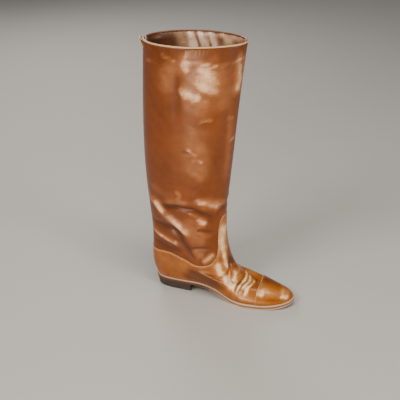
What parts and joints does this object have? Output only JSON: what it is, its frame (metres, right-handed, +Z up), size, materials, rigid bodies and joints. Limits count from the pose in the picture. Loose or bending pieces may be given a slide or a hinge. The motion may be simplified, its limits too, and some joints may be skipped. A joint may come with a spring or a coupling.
{
  "type": "leather boot",
  "caption": "Tall pull-on leather riding boot for the left foot, with toe cap, low stacked heel and a full-length back zip.",
  "frame": {"origin": "middle of the heel's ground face, on the floor", "axes": "+X towards the toe, +Y towards the outer side of the left foot, +Z up the shaft"},
  "size_m": [0.2838, 0.1048, 0.4808],
  "materials": {
    "brown_leather": "glossy cognac brown, mottled and creased",
    "binding_leather": "lighter tan, turned edge",
    "edge_leather": "tan sole leather, matt",
    "insole_leather": "smooth tan lining",
    "heel_leather": "dark stained stacked leather",
    "heel_rubber": "matt",
    "zip_tape": "woven, brown",
    "brass": "pale, polished"
  },
  "bodies": {
    "boot": {"upper": "brown_leather", "vamp": "brown_leather", "toe_cap": "brown_leather", "collar_binding": "binding_leather", "outsole": "edge_leather", "welt": "edge_leather", "insole": "insole_leather", "heel_lift_1": "heel_leather", "heel_lift_2": "heel_leather", "heel_lift_3": "heel_leather", "heel_top_piece": "heel_rubber", "zip_tape_medial": "zip_tape", "zip_tape_lateral": "zip_tape", "zip_chain": "brass", "zip_slider": "brass"},
    "pull": {"zip_pull": "brass"}
  },
  "joints": [
    {"name": "pull_hinge", "type": "hinge", "parent": "boot", "child": "pull", "pos_m": [-0.0493, 0, 0.45515], "axis": [0, -1, 0], "range_deg": [-8, 158]}
  ]
}
